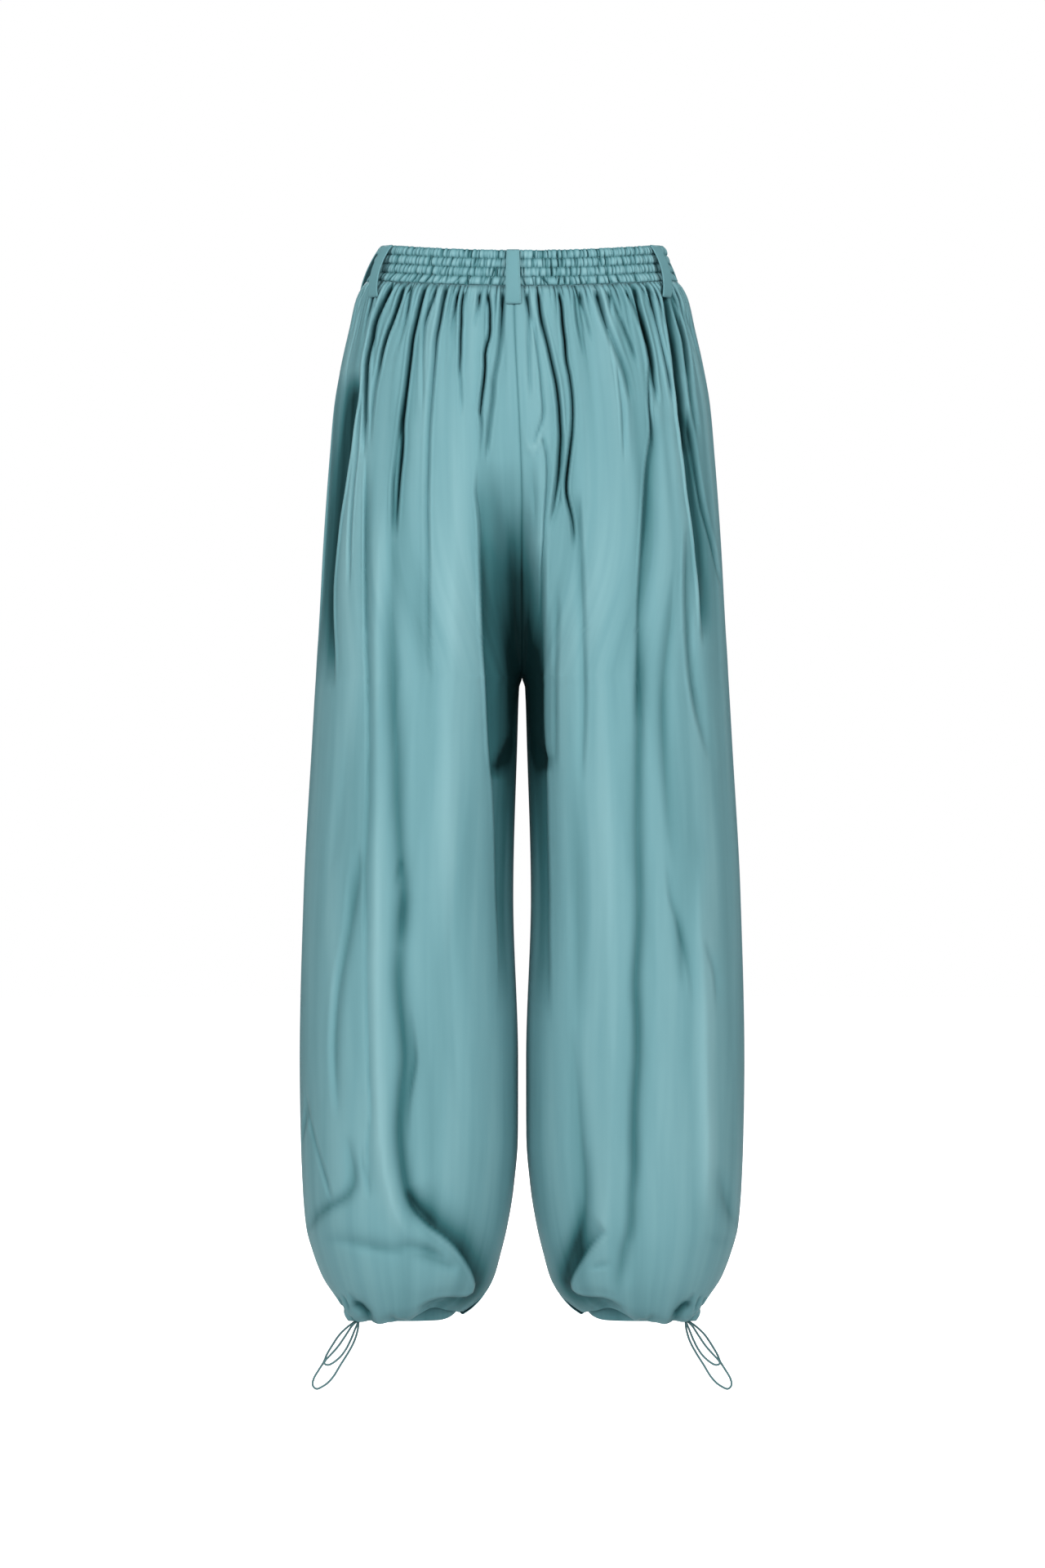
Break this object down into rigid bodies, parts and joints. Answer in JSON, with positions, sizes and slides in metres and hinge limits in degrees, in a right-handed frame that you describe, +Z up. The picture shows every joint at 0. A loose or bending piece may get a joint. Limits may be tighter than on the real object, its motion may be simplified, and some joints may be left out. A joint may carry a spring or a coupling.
{
  "type": "elastic waist pants",
  "caption": "Wide balloon leg pants with a ruched elastic waistband, belt loops and hems drawn in by thin cords, filled out as if worn.",
  "frame": {"origin": "middle of the waist opening at half the waistband's height, where the wearer holds the pants up", "axes": "+X to the wearer's right, +Y to the wearer's front, +Z up along the body"},
  "size_m": [0.4208, 0.2373, 1.083],
  "materials": {
    "satin_cloth": "soft satin weave, light teal",
    "waistband_cloth": "ruched satin weave over elastic, light teal",
    "loop_cloth": "folded satin weave, light teal",
    "ankle_cord": "thin round braid, teal"
  },
  "bodies": {
    "root": {"back_left": "satin_cloth", "back_right": "satin_cloth", "front_left": "satin_cloth", "front_right": "satin_cloth", "waistband": "waistband_cloth", "belt_loop_back_centre": "loop_cloth", "belt_loop_back_left": "loop_cloth", "belt_loop_back_right": "loop_cloth", "belt_loop_front_left": "loop_cloth", "belt_loop_front_right": "loop_cloth", "hem_casing_left": "satin_cloth", "hem_casing_right": "satin_cloth", "cord_long_left": "ankle_cord", "cord_short_left": "ankle_cord", "cord_long_right": "ankle_cord", "cord_short_right": "ankle_cord"}
  },
  "joints": []
}
